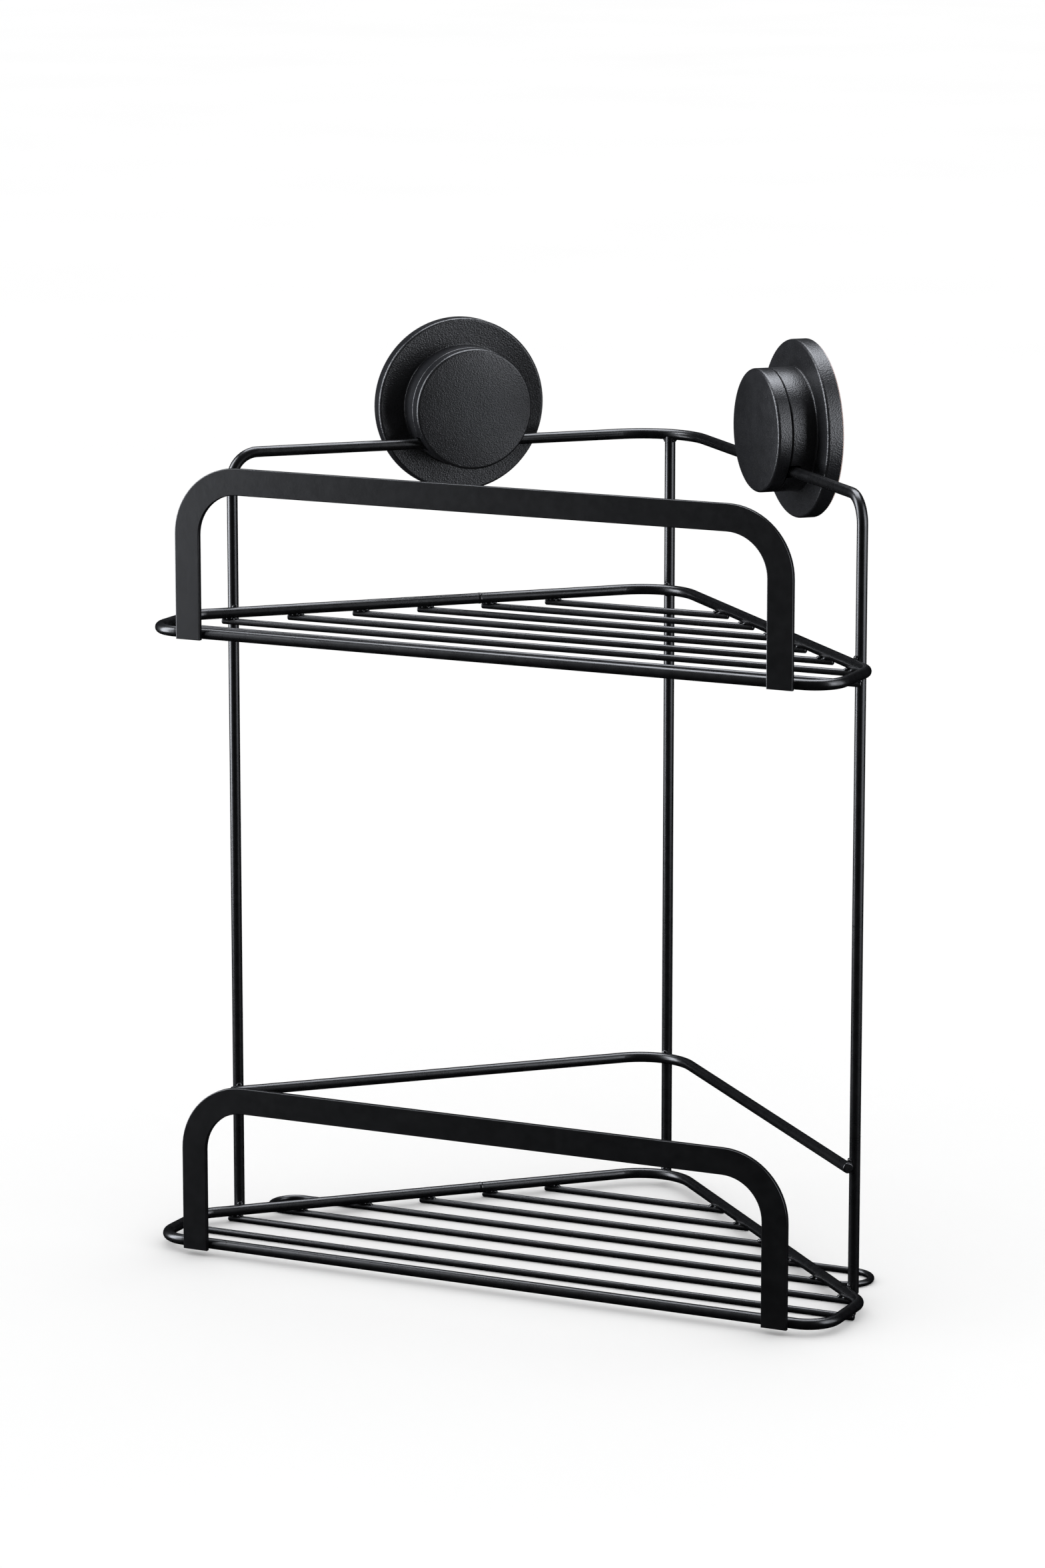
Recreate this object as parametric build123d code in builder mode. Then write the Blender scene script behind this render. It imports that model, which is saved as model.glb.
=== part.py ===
from build123d import *
import os
from math import sqrt

os.makedirs("parts", exist_ok=True)

# Two-tier corner shower caddy: a black wire rack hung from two twist-lock suction cups, one on
# each wall of a corner. +Z is up, the corner of the walls is towards +Y, the open front towards -Y.
# The origin is at the centre of the footprint, on the plane that the rack stands on. Millimetres.

# ---- wire sizes ----
WIRE_R = 2.5                                # frame, rims, mid rail and centre post
ROD_R = 1.5                                 # cross rods and wall loop
ROD_END_R = 0.6                             # broken edge at a rod's cut end
POST_END_R = 1.2                            # rounded foot of a post
POST_FOOT_Z = 3.0                           # posts stop level with the underside of the lower rim

# ---- back frame: two posts joined by a top rail that follows both walls ----
POST_X = 157.0
POST_Y = -41.0
RAIL_Z = 366.1                              # centre line of the top rail
RAIL_APEX_Y = POST_Y + POST_X               # where the two 45 degree runs would meet
RAIL_APEX_R = 30.0
POST_BEND_R = 12.5

# ---- shelf rims: five-sided loops that lie against the room side of the posts ----
RIM_APEX_Y = RAIL_APEX_Y - 2 * WIRE_R * sqrt(2)
RIM_APEX_R = 25.0
RIM_SIDE_X = 168.0
RIM_FRONT_Y = -101.0
SHOULDER_R = 13.5
FRONT_CORNER_R = 14.0
LOWER_RIM_Z = 5.5
SHELF_PITCH = 286.8
UPPER_RIM_Z = LOWER_RIM_Z + SHELF_PITCH

# ---- mid rail: open V behind the bottles ----
MID_RAIL_Z = 63.5
MID_RAIL_END_X = 157.0
MID_RAIL_END_R = 0.8                        # rounded cut end

# ---- cross rods: welded under each rim, parallel to X ----
ROD_COUNT = 7
ROD_FIRST_Y = -69.2
ROD_PITCH = 22.5
ROD_DROP = WIRE_R + ROD_R                   # rod centre below rim centre
ROD_OVERHANG = 4.0                          # rod end beyond the rim's centre line, square to the rim
FRONT_ROD_OVERHANG = 1.0                    # the same for the first rod, under the straight sides
LOOP_RODS = (3, 4)                          # lower rods that are joined into the wall loop
LOOP_CENTRE_X = 142.2

# ---- front guards: flat bar arches welded to the front wire of each rim ----
GUARD_THICK = 2.5
GUARD_WIDTH = 12.2
GUARD_HALF_SPAN = 151.5
GUARD_TOP = 77.2                            # above the rim's centre line
GUARD_OUTER_R = 31.5
GUARD_EDGE_R = 0.4

# ---- suction cups: w is measured out from the wall along the cup's axis ----
WALL_GAP = 17.2                             # wall to the rail's centre line
CUP_Z = RAIL_Z + 16.2
LEFT_CUP_RUN = 106.7                        # along the rail from RAIL_APEX_Y
RIGHT_CUP_RUN = 119.0

DISC_R = 40.7
DISC_W = (0.8, 8.0)
DISC_EDGE_R = 1.2
NECK_R = 28.2
NECK_FRONT_W = 19.7
NECK_EDGE_R = 0.5
NECK_ROOT_R = 0.7
HOLLOW_R = 25.5
HOLLOW_FLOOR_W = 10.0
BOSS_R = 8.0
BOSS_FRONT_W = 14.8
STUD_HOLE_R = 4.2
DISH_R = 38.0
DISH_W = 4.5
HUB_R = 14.0
HUB_W = 7.0

NOTCH_HEIGHT = 6.0
NOTCH_FLOOR_W = 14.4
NOTCH_CORNER_R = 1.2

PAD_R = 40.2
PAD_LIP_IN_R = 34.0
PAD_LIP_W = 0.6
PAD_BODY_R = 37.7
PAD_BODY_W = 3.9
PAD_HUB_R = 13.6
PAD_HUB_W = 6.7
PAD_FACE_W = 1.6

STUD_R = 4.0
STUD_TIP_W = 24.2
STUD_HEAD_R = 10.0
STUD_HEAD_W = (3.4, 5.2)

WASHER_IN_R = 4.1
WASHER_OUT_R = 9.5
WASHER_W = (15.1, 16.3)

KNOB_R = 28.2
KNOB_W = (20.0, 26.7)
KNOB_CROWN = 1.0                            # rise of the domed face at its middle
KNOB_FLAT_R = 4.0                           # small flat in the middle of the dome
KNOB_EDGE_R = 1.3
KNOB_BACK_EDGE_R = 0.5
KNOB_CAVITY_R = 25.8
KNOB_ROOF_W = 24.5
KNOB_BOSS_R = 11.5
KNOB_BOSS_BACK_W = 16.5
KNOB_BORE_R = 4.3
KNOB_BORE_END_W = 25.1

NUT_FLAT_R = 6.5                            # half the size across flats
NUT_BORE_R = 4.05
NUT_W = (17.4, 24.0)
NUT_FIT = 0.05                              # play of the nut in its pocket, each side

HALF_ROOT = sqrt(0.5)


def save(builder, label):
    """Name a finished piece and write it."""
    builder.part.label = label
    export_step(builder.part, f"parts/{label}.step")


def rim_half_width(y):
    """Half the width of the rim's centre line at y."""
    return min(RIM_SIDE_X, RIM_APEX_Y - y)


def rod_y(number):
    """Y of a cross rod, numbered from the front."""
    return ROD_FIRST_Y + (number - 1) * ROD_PITCH


# ---------------------------------------------------------------- back frame

with BuildPart() as back_frame:
    with BuildLine() as frame_path:
        FilletPolyline(
            (-POST_X, POST_Y, POST_FOOT_Z),
            (-POST_X, POST_Y, RAIL_Z),
            (0, RAIL_APEX_Y, RAIL_Z),
            (POST_X, POST_Y, RAIL_Z),
            (POST_X, POST_Y, POST_FOOT_Z),
            radius=(POST_BEND_R, RAIL_APEX_R, POST_BEND_R),
        )
    with BuildSketch(Plane.XY.offset(POST_FOOT_Z)):
        with Locations((-POST_X, POST_Y)):
            Circle(WIRE_R)
    sweep(path=frame_path.line)
    fillet(back_frame.edges().group_by(Axis.Z)[0], POST_END_R)
save(back_frame, "back_frame_wire")

# The centre post stands under the middle of the rail's corner bend, its top coped to the rail.
CENTRE_POST_Y = RAIL_APEX_Y - RAIL_APEX_R * (sqrt(2) - 1)
CENTRE_POST_TOP = RAIL_Z - 0.9

with BuildPart() as centre_post:
    with BuildSketch(Plane.XY.offset(POST_FOOT_Z)):
        with Locations((0, CENTRE_POST_Y)):
            Circle(WIRE_R)
    extrude(amount=CENTRE_POST_TOP - POST_FOOT_Z)
    fillet(centre_post.edges().group_by(Axis.Z)[0], POST_END_R)
    add(back_frame.part, mode=Mode.SUBTRACT)
save(centre_post, "centre_post")

with BuildPart() as mid_rail:
    with BuildLine() as mid_path:
        FilletPolyline(
            (-MID_RAIL_END_X, RIM_APEX_Y - MID_RAIL_END_X, MID_RAIL_Z),
            (0, RIM_APEX_Y, MID_RAIL_Z),
            (MID_RAIL_END_X, RIM_APEX_Y - MID_RAIL_END_X, MID_RAIL_Z),
            radius=RIM_APEX_R,
        )
    with BuildSketch(Plane(mid_path.line @ 0, z_dir=mid_path.line % 0)):
        Circle(WIRE_R)
    sweep(path=mid_path.line)
    fillet(mid_rail.faces().filter_by(GeomType.PLANE).edges(), MID_RAIL_END_R)
save(mid_rail, "mid_rail")

# ---------------------------------------------------------------- shelves

SHOULDER_Y = RIM_APEX_Y - RIM_SIDE_X

for shelf, rim_z in (("lower", LOWER_RIM_Z), ("upper", UPPER_RIM_Z)):
    with BuildPart() as rim:
        with BuildLine(Plane.XY.offset(rim_z)) as rim_path:
            FilletPolyline(
                (0, RIM_APEX_Y),
                (RIM_SIDE_X, SHOULDER_Y),
                (RIM_SIDE_X, RIM_FRONT_Y),
                (-RIM_SIDE_X, RIM_FRONT_Y),
                (-RIM_SIDE_X, SHOULDER_Y),
                radius=(RIM_APEX_R, SHOULDER_R, FRONT_CORNER_R, FRONT_CORNER_R, SHOULDER_R),
                close=True,
            )
        with BuildSketch(Plane(rim_path.line @ 0, z_dir=rim_path.line % 0)):
            Circle(WIRE_R)
        sweep(path=rim_path.wire())
    save(rim, f"{shelf}_rim")

    # The guard's legs end level with the underside of the rim.
    guard_height = GUARD_TOP + WIRE_R
    with BuildPart() as guard:
        with BuildSketch(Plane((0, RIM_FRONT_Y - WIRE_R, rim_z - WIRE_R), x_dir=(1, 0, 0), z_dir=(0, -1, 0))):
            for inset, mode in ((0, Mode.ADD), (GUARD_WIDTH, Mode.SUBTRACT)):
                half = GUARD_HALF_SPAN - inset
                top = guard_height - inset
                with BuildLine():
                    arch = FilletPolyline(
                        (-half, 0),
                        (-half, top),
                        (half, top),
                        (half, 0),
                        radius=GUARD_OUTER_R - inset,
                    )
                    Line(arch @ 1, arch @ 0)
                make_face(mode=mode)
        extrude(amount=GUARD_THICK)
        fillet(guard.faces().filter_by(Axis.Y).edges(), GUARD_EDGE_R)
    save(guard, f"{shelf}_front_guard")

    for number in range(1, ROD_COUNT + 1):
        if shelf == "lower" and number in LOOP_RODS:
            continue
        y = rod_y(number)
        rod_half = rim_half_width(y) + ROD_OVERHANG
        if rim_half_width(y) == RIM_SIDE_X:
            rod_half = RIM_SIDE_X + FRONT_ROD_OVERHANG
        with BuildPart() as rod:
            with BuildSketch(Plane.YZ.offset(-rod_half)):
                with Locations((y, rim_z - ROD_DROP)):
                    Circle(ROD_R)
            extrude(amount=2 * rod_half)
            fillet(rod.faces().filter_by(Axis.X).edges(), ROD_END_R)
        save(rod, f"{shelf}_cross_wire_{number}")

# The third and fourth rods of the lower shelf carry on past the rim and close into a long loop,
# whose ends rest on the walls and hold the rack upright.
loop_front_y, loop_back_y = (rod_y(number) for number in LOOP_RODS)

loop_mid_y = (loop_front_y + loop_back_y) / 2

with BuildPart() as wall_loop:
    with BuildLine(Plane.XY.offset(LOWER_RIM_Z - ROD_DROP)) as loop_path:
        Line((-LOOP_CENTRE_X, loop_front_y), (LOOP_CENTRE_X, loop_front_y))
        CenterArc((LOOP_CENTRE_X, loop_mid_y), ROD_PITCH / 2, -90, 180)
        Line((LOOP_CENTRE_X, loop_back_y), (-LOOP_CENTRE_X, loop_back_y))
        CenterArc((-LOOP_CENTRE_X, loop_mid_y), ROD_PITCH / 2, 90, 180)
    with BuildSketch(Plane((0, loop_front_y, LOWER_RIM_Z - ROD_DROP), z_dir=(1, 0, 0))):
        Circle(ROD_R)
    sweep(path=loop_path.wire())
save(wall_loop, "lower_wall_loop")

# ---------------------------------------------------------------- suction cups


def wall_point(side, run):
    """Centre of a cup's footprint on its wall; side is -1 for the left wall and 1 for the right."""
    x = side * (run + WALL_GAP) * HALF_ROOT
    y = RAIL_APEX_Y - (run - WALL_GAP) * HALF_ROOT
    return (x, y, CUP_Z)


def cup_planes(side, run):
    """Planes of a cup: one for its half section (x is radius, y is w), one across the wall."""
    outward = Vector(-side * HALF_ROOT, -HALF_ROOT, 0)
    across = outward.cross(Vector(0, 0, 1))
    foot = wall_point(side, run)
    section = Plane(foot, x_dir=across, z_dir=across.cross(outward))
    end_on = Plane(foot, x_dir=outward, z_dir=across)
    return section, end_on


def ring_edges(builder, radius):
    """Circular edges of the given radius."""
    return builder.edges().filter_by(lambda e: e.geom_type == GeomType.CIRCLE and abs(e.radius - radius) < 0.01)


for name, side, run in (("left", -1, LEFT_CUP_RUN), ("right", 1, RIGHT_CUP_RUN)):
    section, end_on = cup_planes(side, run)
    cup_axis = Axis(section.origin, section.y_dir)
    nut_seat = Plane(section.origin + section.y_dir * NUT_W[0], x_dir=section.x_dir, z_dir=section.y_dir)

    # Housing: a disc, a hollow neck, a boss round the stud's hole and a dish at the back for the pad.
    with BuildPart() as housing:
        with BuildSketch(section):
            with BuildLine():
                Polyline(
                    (STUD_HOLE_R, HUB_W),
                    (HUB_R, HUB_W),
                    (HUB_R, DISH_W),
                    (DISH_R, DISH_W),
                    (DISH_R, DISC_W[0]),
                    (DISC_R, DISC_W[0]),
                    (DISC_R, DISC_W[1]),
                    (NECK_R, DISC_W[1]),
                    (NECK_R, NECK_FRONT_W),
                    (HOLLOW_R, NECK_FRONT_W),
                    (HOLLOW_R, HOLLOW_FLOOR_W),
                    (BOSS_R, HOLLOW_FLOOR_W),
                    (BOSS_R, BOSS_FRONT_W),
                    (STUD_HOLE_R, BOSS_FRONT_W),
                    close=True,
                )
            make_face()
        revolve(axis=cup_axis)
        neck_edges = ring_edges(housing, NECK_R).sort_by(cup_axis)
        fillet(ring_edges(housing, DISC_R).sort_by(cup_axis)[-1], DISC_EDGE_R)
        fillet(neck_edges[0], NECK_ROOT_R)
        fillet(neck_edges[-1], NECK_EDGE_R)
        # The slot for the rail runs right through the neck and is open at the front.
        with BuildSketch(end_on) as notch_outline:
            with Locations((NOTCH_FLOOR_W, -(CUP_Z - RAIL_Z))):
                Rectangle(DISC_R, NOTCH_HEIGHT, align=(Align.MIN, Align.CENTER))
            fillet(notch_outline.vertices().group_by(Axis.X)[0], NOTCH_CORNER_R)
        extrude(amount=DISC_R, both=True, mode=Mode.SUBTRACT)
    save(housing, f"{name}_cup_housing")

    # Soft pad: a body in the dish, a thick hub round the stud's head and a thin lip on the wall.
    with BuildPart() as pad:
        with BuildSketch(section):
            with BuildLine():
                Polyline(
                    (0, PAD_FACE_W),
                    (PAD_LIP_IN_R, PAD_FACE_W),
                    (PAD_LIP_IN_R, 0),
                    (PAD_R, 0),
                    (PAD_R, PAD_LIP_W),
                    (PAD_BODY_R, PAD_LIP_W),
                    (PAD_BODY_R, PAD_BODY_W),
                    (PAD_HUB_R, PAD_BODY_W),
                    (PAD_HUB_R, PAD_HUB_W),
                    (STUD_R, PAD_HUB_W),
                    (STUD_R, STUD_HEAD_W[1]),
                    (STUD_HEAD_R, STUD_HEAD_W[1]),
                    (STUD_HEAD_R, STUD_HEAD_W[0]),
                    (0, STUD_HEAD_W[0]),
                    close=True,
                )
            make_face()
        revolve(axis=cup_axis)
    save(pad, f"{name}_suction_pad")

    # Stud: its flat head is moulded into the pad's hub.
    with BuildPart() as stud:
        with BuildSketch(section):
            with BuildLine():
                Polyline(
                    (0, STUD_HEAD_W[0]),
                    (STUD_HEAD_R, STUD_HEAD_W[0]),
                    (STUD_HEAD_R, STUD_HEAD_W[1]),
                    (STUD_R, STUD_HEAD_W[1]),
                    (STUD_R, STUD_TIP_W - 0.8),
                    (STUD_R - 0.8, STUD_TIP_W),
                    (0, STUD_TIP_W),
                    close=True,
                )
            make_face()
        revolve(axis=cup_axis)
    save(stud, f"{name}_stud")

    with BuildPart() as washer:
        with BuildSketch(section):
            with Locations((WASHER_IN_R, WASHER_W[0])):
                Rectangle(
                    WASHER_OUT_R - WASHER_IN_R,
                    WASHER_W[1] - WASHER_W[0],
                    align=(Align.MIN, Align.MIN),
                )
        revolve(axis=cup_axis)
    save(washer, f"{name}_washer")

    # Knob: a shallow cap with a boss inside that holds the nut and turns on the stud.
    with BuildPart() as knob:
        with BuildSketch(section):
            with BuildLine():
                Polyline(
                    (KNOB_FLAT_R, KNOB_W[1] + KNOB_CROWN),
                    (0, KNOB_W[1] + KNOB_CROWN),
                    (0, KNOB_BORE_END_W),
                    (KNOB_BORE_R, KNOB_BORE_END_W),
                    (KNOB_BORE_R, KNOB_BOSS_BACK_W),
                    (KNOB_BOSS_R, KNOB_BOSS_BACK_W),
                    (KNOB_BOSS_R, KNOB_ROOF_W),
                    (KNOB_CAVITY_R, KNOB_ROOF_W),
                    (KNOB_CAVITY_R, KNOB_W[0]),
                    (KNOB_R, KNOB_W[0]),
                    (KNOB_R, KNOB_W[1]),
                )
                TangentArc((KNOB_FLAT_R, KNOB_W[1] + KNOB_CROWN), (KNOB_R, KNOB_W[1]), tangent=(1, 0))
            make_face()
        revolve(axis=cup_axis)
        knob_edges = ring_edges(knob, KNOB_R).sort_by(cup_axis)
        fillet(knob_edges[0], KNOB_BACK_EDGE_R)
        fillet(knob_edges[-1], KNOB_EDGE_R)
        with BuildSketch(nut_seat):
            RegularPolygon(NUT_FLAT_R + NUT_FIT, 6, major_radius=False)
        extrude(amount=NUT_W[1] - NUT_W[0] + NUT_FIT, mode=Mode.SUBTRACT)
    save(knob, f"{name}_knob")

    with BuildPart() as nut:
        with BuildSketch(nut_seat):
            RegularPolygon(NUT_FLAT_R, 6, major_radius=False)
            Circle(NUT_BORE_R, mode=Mode.SUBTRACT)
        extrude(amount=NUT_W[1] - NUT_W[0])
    save(nut, f"{name}_nut")
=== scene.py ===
import bmesh
import bpy
import math
import random
from mathutils import Matrix, Vector, noise


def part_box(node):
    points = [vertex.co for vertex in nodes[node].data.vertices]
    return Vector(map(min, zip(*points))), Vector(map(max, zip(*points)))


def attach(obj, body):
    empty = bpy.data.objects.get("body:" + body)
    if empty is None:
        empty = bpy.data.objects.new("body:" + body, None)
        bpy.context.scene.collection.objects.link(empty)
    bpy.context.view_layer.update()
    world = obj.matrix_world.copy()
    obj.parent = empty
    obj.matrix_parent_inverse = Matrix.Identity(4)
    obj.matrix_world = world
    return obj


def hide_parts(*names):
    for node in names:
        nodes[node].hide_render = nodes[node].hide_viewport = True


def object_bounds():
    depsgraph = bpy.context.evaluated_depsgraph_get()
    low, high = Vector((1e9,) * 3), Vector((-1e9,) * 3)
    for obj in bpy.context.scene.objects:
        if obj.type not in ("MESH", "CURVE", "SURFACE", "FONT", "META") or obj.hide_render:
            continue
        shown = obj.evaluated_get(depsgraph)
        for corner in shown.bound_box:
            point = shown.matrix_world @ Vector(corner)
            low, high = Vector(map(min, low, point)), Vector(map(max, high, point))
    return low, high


# Corner shower caddy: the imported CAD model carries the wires, guards and cups. This script gives
# them their finishes, adds the welds and the soft pads, and sets up the camera, floor and lights.
# Metres, in the CAD frame: +Z up, +Y towards the corner of the walls.

MM = 0.001
HALF_ROOT = math.sqrt(0.5)
X_AXIS = Vector((1, 0, 0))
Y_AXIS = Vector((0, 1, 0))
Z_AXIS = Vector((0, 0, 1))

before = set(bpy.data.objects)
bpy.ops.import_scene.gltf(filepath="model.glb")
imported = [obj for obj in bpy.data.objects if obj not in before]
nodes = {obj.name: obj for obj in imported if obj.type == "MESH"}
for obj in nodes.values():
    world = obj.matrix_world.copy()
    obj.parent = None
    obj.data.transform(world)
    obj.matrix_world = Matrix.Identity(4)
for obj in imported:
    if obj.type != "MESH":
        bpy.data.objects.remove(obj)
cad_low, cad_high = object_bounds()
rng = random.Random(7)


# ---------------------------------------------------------------- materials


class Finish:
    """A Principled material, built up from noise layers in object coordinates (metres)."""

    def __init__(self, name, colour, roughness):
        self.material = bpy.data.materials.new(name)
        self.material.use_nodes = True
        self.tree = self.material.node_tree
        self.shader = self.tree.nodes["Principled BSDF"]
        self.shader.inputs["Base Color"].default_value = (*colour, 1)
        self.shader.inputs["Roughness"].default_value = roughness
        self.where = self.tree.nodes.new("ShaderNodeTexCoord").outputs["Object"]
        self.bump_out = None

    def set(self, **values):
        """Set constants on the shader; an underscore in a name stands for a space."""
        for name, value in values.items():
            self.shader.inputs[name.replace("_", " ")].default_value = value

    def link(self, source, target):
        self.tree.links.new(source, target)

    def noise(self, feature, detail):
        """Noise whose features are about feature metres across."""
        texture = self.tree.nodes.new("ShaderNodeTexNoise")
        texture.inputs["Scale"].default_value = 1 / feature
        texture.inputs["Detail"].default_value = detail
        self.link(self.where, texture.inputs["Vector"])
        return texture.outputs["Fac"]

    def cells(self, feature):
        """Distance to the nearest of scattered points about feature metres apart."""
        texture = self.tree.nodes.new("ShaderNodeTexVoronoi")
        texture.inputs["Scale"].default_value = 1 / feature
        self.link(self.where, texture.inputs["Vector"])
        return texture.outputs["Distance"]

    def ramp(self, source, stops):
        """A colour ramp; stops are (position, grey or colour)."""
        ramp = self.tree.nodes.new("ShaderNodeValToRGB")
        elements = ramp.color_ramp.elements
        while len(elements) < len(stops):
            elements.new(0.5)
        for element, (position, value) in zip(elements, stops):
            element.position = position
            grey = isinstance(value, (int, float))
            element.color = (value, value, value, 1) if grey else (*value, 1)
        self.link(source, ramp.inputs["Fac"])
        return ramp.outputs["Color"]

    def bump(self, source, height):
        """Add a bump layer, height metres deep."""
        node = self.tree.nodes.new("ShaderNodeBump")
        node.inputs["Distance"].default_value = height
        node.inputs["Strength"].default_value = 1.0
        self.link(source, node.inputs["Height"])
        if self.bump_out is not None:
            self.link(self.bump_out, node.inputs["Normal"])
        self.bump_out = node.outputs["Normal"]
        self.link(self.bump_out, self.shader.inputs["Normal"])

    def vary_colour(self, feature, detail, *stops):
        """Let noise move the colour between the stops, each (position, colour)."""
        colour = self.ramp(self.noise(feature, detail), stops)
        self.link(colour, self.shader.inputs["Base Color"])

    def vary_roughness(self, feature, detail, low, high):
        """Let noise move the roughness between low and high."""
        roughness = self.ramp(self.noise(feature, detail), ((0.3, low), (0.7, high)))
        self.link(roughness, self.shader.inputs["Roughness"])


def powder_coat(name, roughness_low, roughness_high, peel_height):
    """Satin black powder coat on steel: orange peel, fine grain, slight unevenness in gloss."""
    finish = Finish(name, (0.0018, 0.0018, 0.0021), roughness_low)
    finish.vary_colour(6 * MM, 4, (0.3, (0.0012, 0.0012, 0.0014)), (0.75, (0.0026, 0.0027, 0.0030)))
    finish.vary_roughness(3.5 * MM, 5, roughness_low, roughness_high)
    finish.bump(finish.noise(1.3 * MM, 2), peel_height)
    finish.bump(finish.noise(0.28 * MM, 2), 0.006 * MM)
    return finish.material


def moulded_plastic(name, colour, roughness, grain, grain_height):
    """Black moulded plastic with a spark-eroded grain and a faint uneven sheen."""
    finish = Finish(name, colour, roughness)
    lighter = tuple(c * 1.7 for c in colour)
    finish.vary_colour(9 * MM, 4, (0.3, colour), (0.8, lighter))
    finish.vary_roughness(5 * MM, 4, roughness - 0.02, roughness + 0.02)
    finish.bump(finish.noise(grain, 3), grain_height)
    finish.bump(finish.cells(grain * 0.8), grain_height * 0.6)
    return finish.material


def plated_steel():
    """Zinc-plated steel: bright, with a patchy sheen."""
    finish = Finish("zinc_plated_steel", (0.55, 0.56, 0.58), 0.3)
    finish.set(Metallic=1.0)
    finish.vary_colour(2 * MM, 4, (0.3, (0.45, 0.46, 0.48)), (0.7, (0.66, 0.66, 0.64)))
    finish.vary_roughness(0.8 * MM, 4, 0.22, 0.42)
    finish.bump(finish.noise(0.25 * MM, 3), 0.01 * MM)
    return finish.material


def machined_brass():
    """Turned brass with fine tool marks."""
    finish = Finish("machined_brass", (0.72, 0.53, 0.25), 0.28)
    finish.set(Metallic=1.0)
    finish.vary_colour(3 * MM, 3, (0.3, (0.62, 0.44, 0.19)), (0.7, (0.80, 0.60, 0.31)))
    finish.vary_roughness(1 * MM, 4, 0.2, 0.4)
    finish.bump(finish.noise(0.2 * MM, 2), 0.012 * MM)
    return finish.material


def washer_nylon():
    """Off-white nylon, a little translucent."""
    finish = Finish("washer_nylon", (0.80, 0.79, 0.75), 0.42)
    finish.set(Subsurface_Weight=0.15)
    finish.vary_colour(3 * MM, 3, (0.3, (0.74, 0.73, 0.68)), (0.7, (0.84, 0.83, 0.79)))
    finish.vary_roughness(1.5 * MM, 3, 0.34, 0.5)
    finish.bump(finish.noise(0.5 * MM, 2), 0.01 * MM)
    return finish.material


def soft_pad():
    """Soft clear plastic with a slight pink cast, a little cloudy."""
    finish = Finish("soft_clear_pad", (0.42, 0.33, 0.32), 0.30)
    finish.set(Transmission_Weight=0.45, Subsurface_Weight=0.1, IOR=1.49)
    finish.vary_colour(8 * MM, 4, (0.3, (0.36, 0.275, 0.265)), (0.75, (0.46, 0.37, 0.36)))
    finish.vary_roughness(3 * MM, 4, 0.26, 0.42)
    finish.bump(finish.noise(1.1 * MM, 3), 0.02 * MM)
    return finish.material


wire_finish = powder_coat("black_powder_coat_wire", 0.26, 0.30, 0.012 * MM)
bar_finish = powder_coat("black_powder_coat_bar", 0.29, 0.32, 0.02 * MM)
weld_finish = powder_coat("black_powder_coat_weld", 0.18, 0.26, 0.04 * MM)

# The cups' black plastic: the housing is a little rougher and coarser in grain than the knob.
PLASTIC_BLACK = (0.0028, 0.0029, 0.0034)
housing_finish = moulded_plastic("black_textured_plastic", PLASTIC_BLACK, 0.34, 0.8 * MM, 0.11 * MM)
knob_finish = moulded_plastic("black_satin_plastic", PLASTIC_BLACK, 0.33, 0.7 * MM, 0.08 * MM)

# By the ending of a CAD node's name; every other node is wire.
FINISHES = {
    "front_guard": bar_finish,
    "cup_housing": housing_finish,
    "knob": knob_finish,
    "stud": plated_steel(),
    "nut": machined_brass(),
    "washer": washer_nylon(),
    "suction_pad": soft_pad(),
}

for name, node in nodes.items():
    finish = next((f for ending, f in FINISHES.items() if name.endswith(ending)), wire_finish)
    for material_slot in node.material_slots:
        material_slot.material = finish


# ---------------------------------------------------------------- places read from the CAD


def middle(node):
    """Centre of a CAD node's box."""
    low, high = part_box(node)
    return (low + high) / 2


wire_r = (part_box("lower_rim")[1].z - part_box("lower_rim")[0].z) / 2
rod_r = (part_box("lower_wall_loop")[1].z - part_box("lower_wall_loop")[0].z) / 2
rim_z = {shelf: middle(f"{shelf}_rim").z for shelf in ("lower", "upper")}
rim_side_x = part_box("lower_rim")[1].x - wire_r
rim_front_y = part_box("lower_rim")[0].y + wire_r
post_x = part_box("back_frame_wire")[1].x - wire_r
post_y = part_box("back_frame_wire")[0].y + wire_r
rail_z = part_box("back_frame_wire")[1].z - wire_r
centre_post_y = middle("centre_post").y
# The rim's 45 degree runs lie one wire's thickness inside the line through the posts.
rim_sum = post_x + post_y - 2 * wire_r / HALF_ROOT
mid_rail_z = middle("mid_rail").z

loop_low, loop_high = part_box("lower_wall_loop")
rod_places = {"lower": [loop_low.y + rod_r, loop_high.y - rod_r], "upper": []}
for name in nodes:
    if "cross_wire" in name:
        rod_places[name.split("_")[0]].append(middle(name).y)


# ---------------------------------------------------------------- mesh helpers


def new_piece(name, bm, material, body):
    """Turn a bmesh into a smooth-shaded piece that rides on a body."""
    mesh = bpy.data.meshes.new(name)
    bm.to_mesh(mesh)
    bm.free()
    for polygon in mesh.polygons:
        polygon.use_smooth = True
    piece = bpy.data.objects.new(name, mesh)
    bpy.context.scene.collection.objects.link(piece)
    mesh.materials.append(material)
    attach(piece, body)
    return piece


def axes_from(x_axis, z_axis):
    """Rotation whose X and Z columns follow the given directions."""
    z_dir = z_axis.normalized()
    x_dir = (x_axis - x_axis.dot(z_dir) * z_dir).normalized()
    y_dir = z_dir.cross(x_dir)
    return Matrix((x_dir, y_dir, z_dir)).transposed()


def random_mm(low, high):
    """A random length between low and high millimetres."""
    return rng.uniform(low, high) * MM


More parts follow.
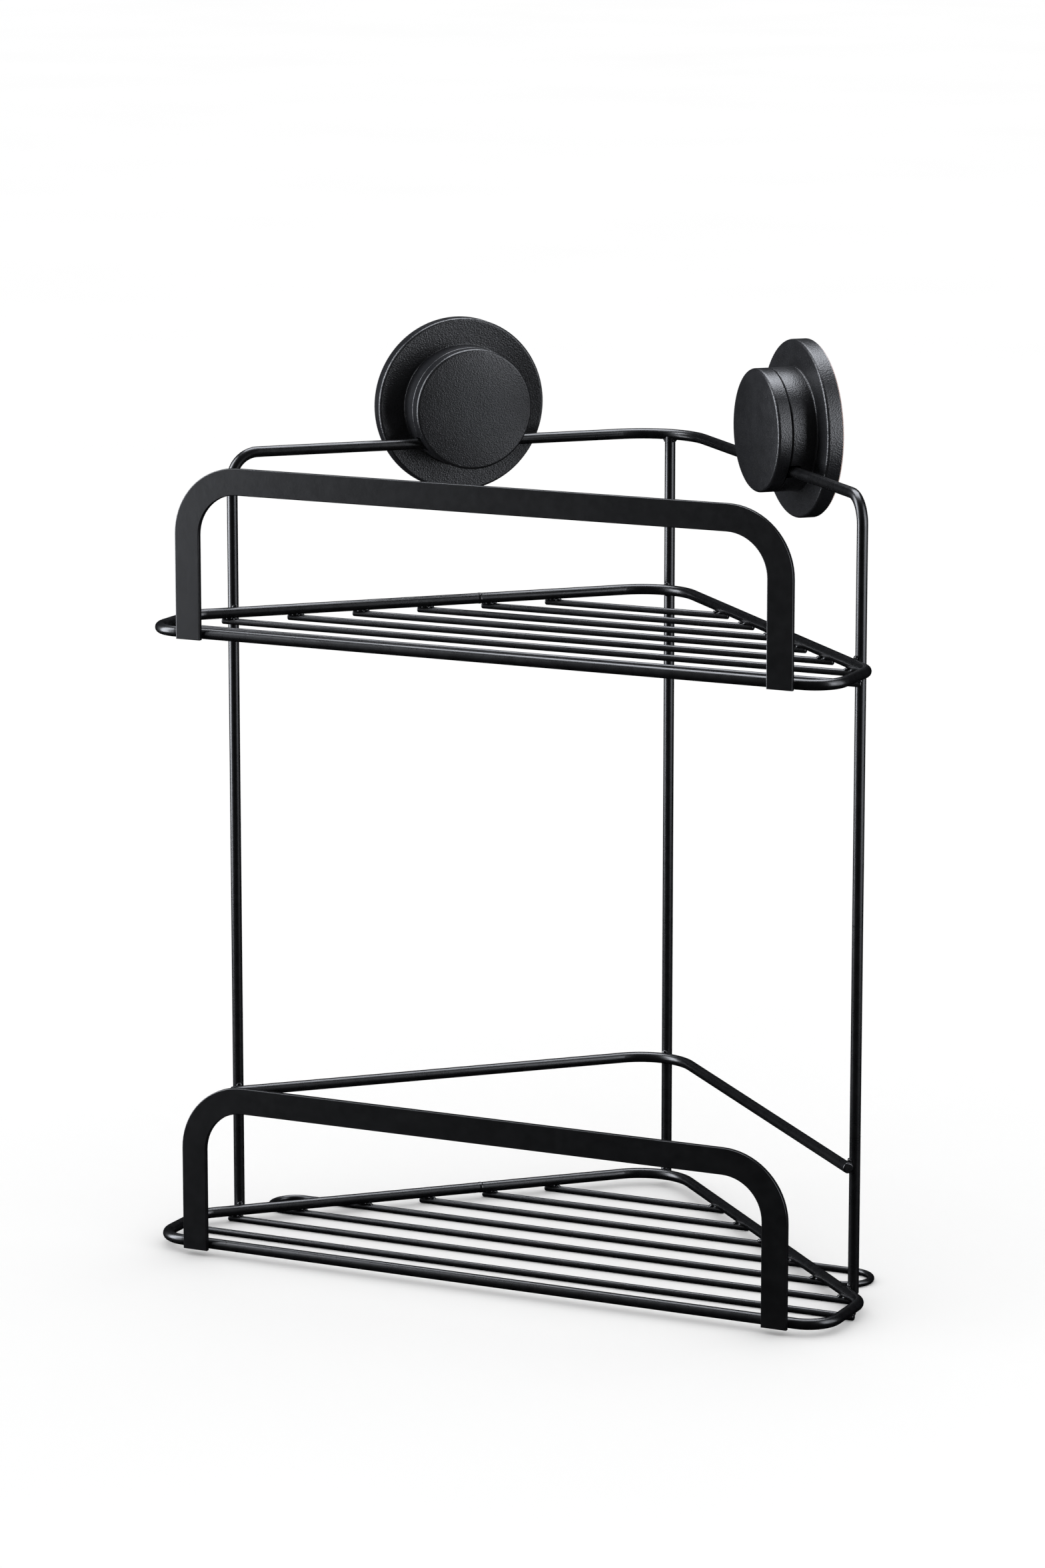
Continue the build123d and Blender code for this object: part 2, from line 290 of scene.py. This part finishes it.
def add_lump(bm, centre, radii, x_axis=X_AXIS, z_axis=Z_AXIS, uneven=0.12):
    """A solidified lump of weld metal: an uneven ellipsoid."""
    turn = axes_from(x_axis, z_axis)
    seed = Vector((rng.uniform(0, 99), rng.uniform(0, 99), rng.uniform(0, 99)))
    made = bmesh.ops.create_icosphere(bm, subdivisions=3, radius=1)
    for vertex in made["verts"]:
        direction = vertex.co.normalized()
        broad = noise.noise(direction * 1.3 + seed)
        fine = noise.noise(direction * 4 + seed)
        swell = 1 + uneven * broad + 0.3 * uneven * fine
        local = Vector((direction.x * radii[0], direction.y * radii[1], direction.z * radii[2])) * swell
        vertex.co = centre + turn @ local


def add_bead(bm, start, end, radius, ripple=1.1 * MM):
    """A run of weld: overlapping lumps from start to end."""
    run = end - start
    count = max(2, round(run.length / ripple))
    for step in range(count + 1):
        centre = start + run * (step / count)
        size = radius * rng.uniform(0.88, 1.08)
        add_lump(bm, centre, (size * 1.1, size, size), x_axis=run, uneven=0.08)


def spokes(first, second, count):
    """Directions all round the circle that starts at first and passes through second."""
    angles = [2 * math.pi * k / count for k in range(count)]
    return [first * math.cos(angle) + second * math.sin(angle) for angle in angles]


def bridge(bm, near, far):
    """Join two rings of vertices with quads, or a ring and a single vertex with triangles."""
    count = max(len(near), len(far))
    for k in range(count):
        following = (k + 1) % count
        if len(near) == 1:
            bm.faces.new((near[0], far[following], far[k]))
        elif len(far) == 1:
            bm.faces.new((near[k], near[following], far[0]))
        else:
            bm.faces.new((near[k], near[following], far[following], far[k]))


# ---------------------------------------------------------------- welds between rods and rims


def add_rod_weld(bm, contact_z, y, side):
    """The weld at one end of a rod that passes under the rim at this y."""
    on_slope = rim_sum - y < rim_side_x
    x = side * min(rim_side_x, rim_sum - y)
    wire_dir = Vector((-side * HALF_ROOT, HALF_ROOT, 0)) if on_slope else Y_AXIS
    # Squeezed-out metal between the rim and the rod under it.
    squeezed = (random_mm(1.9, 2.3), random_mm(1.5, 1.8), random_mm(0.8, 1.0))
    add_lump(bm, Vector((x, y, contact_z)), squeezed, x_axis=wire_dir)
    # A drop in the corner on the room side, where the welder's tip came down.
    drop_x = x - side * random_mm(2.4, 2.9)
    drop_y = y + random_mm(-0.3, 0.3)
    size = random_mm(1.1, 1.45)
    drop = Vector((drop_x, drop_y, contact_z - 0.1 * MM))
    add_lump(bm, drop, (size * 1.25, size, size * 0.75), uneven=0.2)


for shelf, places in rod_places.items():
    bm = bmesh.new()
    for y in places:
        for side in (-1, 1):
            add_rod_weld(bm, rim_z[shelf] - wire_r, y, side)
    welds = new_piece(f"{shelf}_shelf_rod_welds", bm, weld_finish, "rack")

# ---------------------------------------------------------------- welds on the posts

# Where the rims and the mid rail touch the side posts.
CONTACT_X = post_x - wire_r * HALF_ROOT
CONTACT_Y = post_y - wire_r * HALF_ROOT


def post_contacts(z):
    """Each touching point at this height, with the wire's direction and the way to the post."""
    yield Vector((0, centre_post_y - wire_r, z)), X_AXIS, Y_AXIS
    for side in (-1, 1):
        along = Vector((-side * HALF_ROOT, HALF_ROOT, 0))
        out = Vector((side * HALF_ROOT, HALF_ROOT, 0))
        yield Vector((side * CONTACT_X, CONTACT_Y, z)), along, out


bm = bmesh.new()
for height in (rim_z["lower"], rim_z["upper"], mid_rail_z):
    for contact, along, out in post_contacts(height):
        add_lump(bm, contact, (2.6 * MM, 2.4 * MM, 1.1 * MM), x_axis=along, z_axis=out)
        # Two short beads, above and below the wire, in the groove against the post.
        for up in (-1, 1):
            centre = contact + Vector((0, 0, up * 2.2 * MM)) + along * rng.uniform(-0.3, 0.3) * MM
            add_lump(bm, centre, (1.5 * MM, 1.2 * MM, 0.95 * MM), x_axis=along, z_axis=out, uneven=0.2)
post_welds = new_piece("post_welds", bm, weld_finish, "rack")

# ------------------------------------------------- fillet where the centre post meets the rail

RING_LUMPS = 14
RING_REACH = wire_r + 0.35 * MM
RING_DEPTH = wire_r - 0.8 * MM
bm = bmesh.new()
for step in range(RING_LUMPS):
    angle = 2 * math.pi * step / RING_LUMPS
    # The rail is round, so the joint dips on the room side and the wall side.
    dip = wire_r - 1.9 * MM * math.cos(angle) ** 2
    x = RING_REACH * math.cos(angle)
    y = centre_post_y + RING_DEPTH * math.sin(angle)
    size = random_mm(0.85, 1.1)
    add_lump(bm, Vector((x, y, rail_z - dip - 0.9 * MM)), (size, 0.6 * MM, size * 1.1), uneven=0.15)
rail_weld = new_piece("centre_post_weld", bm, weld_finish, "rack")

# ---------------------------------------------------------------- welds behind the guards' legs

GUARD_WIDTH = 12.2 * MM
leg_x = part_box("lower_front_guard")[1].x - GUARD_WIDTH / 2
bead_half = GUARD_WIDTH / 2 - 1.6 * MM
bead_y = rim_front_y - wire_r + 0.75 * MM
bm = bmesh.new()
for shelf in ("lower", "upper"):
    for side in (-1, 1):
        for up in (-1, 1):
            z = rim_z[shelf] + up * 1.75 * MM
            start = Vector((side * leg_x - bead_half, bead_y, z))
            end = Vector((side * leg_x + bead_half, bead_y, z))
            add_bead(bm, start, end, 0.7 * MM)
guard_welds = new_piece("guard_welds", bm, weld_finish, "rack")

# ---------------------------------------------------------------- butt seams of the rims

SEAM_X = -69.3 * MM
SEAM_HALF = 0.9 * MM
SEAM_FLASH = 0.16 * MM
SEAM_SUNK = 0.02 * MM
SEAM_STEPS = 10
SEAM_SIDES = 40
SEAM_DIR = Vector((HALF_ROOT, HALF_ROOT, 0))
SEAM_SIDE = Vector((HALF_ROOT, -HALF_ROOT, 0))
bm = bmesh.new()
for shelf in ("lower", "upper"):
    seed = Vector((rng.uniform(0, 99), 0, 0))
    rings = []
    for step in range(SEAM_STEPS + 1):
        t = -1 + 2 * step / SEAM_STEPS
        centre = Vector((SEAM_X, rim_sum + SEAM_X, rim_z[shelf])) + SEAM_DIR * t * SEAM_HALF
        ring = []
        for around in spokes(SEAM_SIDE, Z_AXIS, SEAM_SIDES):
            lumpy = 1 + 0.5 * noise.noise(around * 2.2 + seed)
            radius = wire_r - SEAM_SUNK + SEAM_FLASH * lumpy * (1 - t * t)
            ring.append(bm.verts.new(centre + around * radius))
        rings.append(ring)
    for near, far in zip(rings, rings[1:]):
        bridge(bm, near, far)
    bm.faces.new(reversed(rings[0]))
    bm.faces.new(rings[-1])
bmesh.ops.recalc_face_normals(bm, faces=bm.faces)
seams = new_piece("rim_butt_seams", bm, weld_finish, "rack")

# ---------------------------------------------------------------- soft pads of the cups

PAD_SIDES = 160
PAD_FACE_STEPS = 150
PAD_FACE_MARGIN = 0.2 * MM
PAD_HOLLOW = 1.7 * MM
PAD_HOLLOW_R = 35 * MM
PAD_GROOVE = 0.12 * MM
PAD_RIDGES = (10 * MM, 16 * MM, 22 * MM, 28 * MM, 36.6 * MM, 38.2 * MM)
PAD_RIDGE_HEIGHT = 0.2 * MM
PAD_RIDGE_HALF = 0.35 * MM
# Radius and distance from the wall of the back of the pad, in millimetres: the lip, the body
# that fills the housing's dish, a moulded groove, the hub and the seat of the stud's flat head.
PAD_BACK = (
    (39.95, 0.0), (40.12, 0.08), (40.2, 0.22), (40.2, 0.38), (40.1, 0.52), (39.9, 0.58),
    (38.5, 0.6), (38.0, 0.66), (37.76, 0.84), (37.7, 1.1), (37.7, 3.4), (37.62, 3.7),
    (37.4, 3.86), (37.1, 3.9), (31.0, 3.9), (30.7, 3.84), (30.4, 3.6), (30.1, 3.52),
    (29.8, 3.6), (29.5, 3.84), (29.2, 3.9), (14.5, 3.9), (14.0, 3.96), (13.7, 4.1),
    (13.6, 4.4), (13.6, 6.2), (13.5, 6.5), (13.2, 6.66), (12.9, 6.7), (4.7, 6.7),
    (4.3, 6.62), (4.06, 6.4), (4.04, 5.24), (10.04, 5.24), (10.04, 3.36), (0, 3.36),
)


def pad_face(radius):
    """Distance from the wall of the pad's face: a shallow hollow with thin sealing ridges."""
    share = (radius / PAD_HOLLOW_R) ** 3
    hollow = PAD_HOLLOW * max(0.0, 1 - share)
    groove = PAD_GROOVE if radius > PAD_HOLLOW_R else PAD_GROOVE * share
    ridge = sum(math.exp(-(((radius - place) / PAD_RIDGE_HALF) ** 2)) for place in PAD_RIDGES)
    return max(0.0, hollow + groove - PAD_RIDGE_HEIGHT * ridge)


def pad_profile():
    """Radius and distance from the wall, from the middle of the face round to the stud's seat."""
    face_end = PAD_BACK[0][0] * MM - PAD_FACE_MARGIN
    radii = [face_end * step / PAD_FACE_STEPS for step in range(PAD_FACE_STEPS + 1)]
    face = [(radius, pad_face(radius)) for radius in radii]
    return face + [(radius * MM, away * MM) for radius, away in PAD_BACK]


for name, side in (("left", -1), ("right", 1)):
    low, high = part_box(f"{name}_suction_pad")
    lip_r = (high.z - low.z) / 2
    foot_x = (low.x if side < 0 else high.x) - side * lip_r * HALF_ROOT
    foot = Vector((foot_x, high.y - lip_r * HALF_ROOT, (low.z + high.z) / 2))
    out = Vector((-side * HALF_ROOT, -HALF_ROOT, 0))
    around = spokes(out.cross(Z_AXIS), Z_AXIS, PAD_SIDES)
    bm = bmesh.new()
    rings = []
    for radius, away in pad_profile():
        centre = foot + out * away
        # The profile starts and ends on the axis, with a single vertex.
        ring_spokes = around if radius > 0 else around[:1]
        rings.append([bm.verts.new(centre + spoke * radius) for spoke in ring_spokes])
    for near, far in zip(rings, rings[1:]):
        bridge(bm, near, far)
    bmesh.ops.recalc_face_normals(bm, faces=bm.faces)
    pad = new_piece(f"{name}_soft_pad", bm, FINISHES["suction_pad"], f"{name}_cup")
    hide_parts(f"{name}_suction_pad")

# ---------------------------------------------------------------- camera

# The camera stands in front and to the right, a little above the rack's middle.
CAMERA_AZIMUTH = math.radians(25.551)
CAMERA_ELEVATION = math.radians(11.482)
CAMERA_LENS = 129.0
CAMERA_PLACE = Vector((1.0731, -2.3029, 0.7325))

look = Vector((
    -math.sin(CAMERA_AZIMUTH) * math.cos(CAMERA_ELEVATION),
    math.cos(CAMERA_AZIMUTH) * math.cos(CAMERA_ELEVATION),
    -math.sin(CAMERA_ELEVATION),
))
camera_data = bpy.data.cameras.new("camera")
camera_data.lens = CAMERA_LENS
camera_data.sensor_width = 36
camera_data.clip_start = 0.05
camera_data.clip_end = 50
camera = bpy.data.objects.new("camera", camera_data)
camera.location = CAMERA_PLACE
camera.rotation_euler = look.to_track_quat("-Z", "Y").to_euler()
bpy.context.scene.collection.objects.link(camera)
bpy.context.scene.camera = camera

# ---------------------------------------------------------------- floor and lights

FLOOR_RADIUS = 14.0
FLOOR_SIDES = 96
LIGHT_TINT = (0.90, 0.93, 1.0)
SKY_STRENGTH = 1.2

floor_group = bpy.data.collections.new("floor_group")


def pale_floor():
    """A wide round sheet of white paper under the rack."""
    bm = bmesh.new()
    bmesh.ops.create_circle(bm, cap_ends=True, segments=FLOOR_SIDES, radius=FLOOR_RADIUS)
    mesh = bpy.data.meshes.new("pale_floor")
    bm.to_mesh(mesh)
    bm.free()
    floor = bpy.data.objects.new("pale_floor", mesh)
    bpy.context.scene.collection.objects.link(floor)
    finish = Finish("pale_floor", (0.86, 0.86, 0.86), 0.9)
    finish.set(Specular_IOR_Level=0.1)
    finish.vary_colour(0.4, 2, (0.2, 0.855), (0.8, 0.875))
    mesh.materials.append(finish.material)
    # A studio keeps the paper out of the reflections in black gloss with flags; so does this.
    floor.visible_glossy = False
    # Only the sky lights the floor, so that it is one even white with a soft shadow under the rack.
    floor_group.objects.link(floor)
    floor_group.collection_objects[0].light_linking.link_state = "EXCLUDE"


def softbox(name, azimuth, distance, height, size, radiance):
    """An area light aimed at the rack; azimuth in degrees from the camera, positive to its right."""
    turn = CAMERA_AZIMUTH + math.radians(azimuth)
    target = (cad_low + cad_high) / 2
    x = target.x + distance * math.sin(turn)
    y = target.y - distance * math.cos(turn)
    place = Vector((x, y, height))
    # A high box looks down at the rack's middle, the others look straight across.
    aim = Vector((target.x, target.y, target.z if height > 1 else height))
    data = bpy.data.lights.new(name, "AREA")
    data.shape = "RECTANGLE"
    data.size, data.size_y = size
    data.color = LIGHT_TINT
    data.energy = radiance * math.pi * size[0] * size[1]
    light = bpy.data.objects.new(name, data)
    light.light_linking.receiver_collection = floor_group
    light.location = place
    light.rotation_euler = (aim - place).to_track_quat("-Z", "Y").to_euler()
    bpy.context.scene.collection.objects.link(light)


pale_floor()
softbox("softbox_left", azimuth=-89, distance=1.0, height=0.66, size=(0.5, 1.3), radiance=12)
softbox("softbox_left_wide", azimuth=-82, distance=1.15, height=0.62, size=(0.95, 1.2), radiance=1.8)
softbox("softbox_right", azimuth=66, distance=0.95, height=0.66, size=(0.68, 1.28), radiance=3.2)
softbox("softbox_right_core", azimuth=54, distance=0.95, height=0.50, size=(0.26, 0.56), radiance=5)
softbox("softbox_top", azimuth=180, distance=0.45, height=1.75, size=(1.4, 1.1), radiance=9)

world = bpy.data.worlds.new("studio")
bpy.context.scene.world = world
world.use_nodes = True
background = world.node_tree.nodes["Background"]
background.inputs["Color"].default_value = (1, 1, 1, 1)
background.inputs["Strength"].default_value = SKY_STRENGTH
world.cycles_visibility.glossy = False
bpy.context.scene.view_settings.view_transform = "Standard"
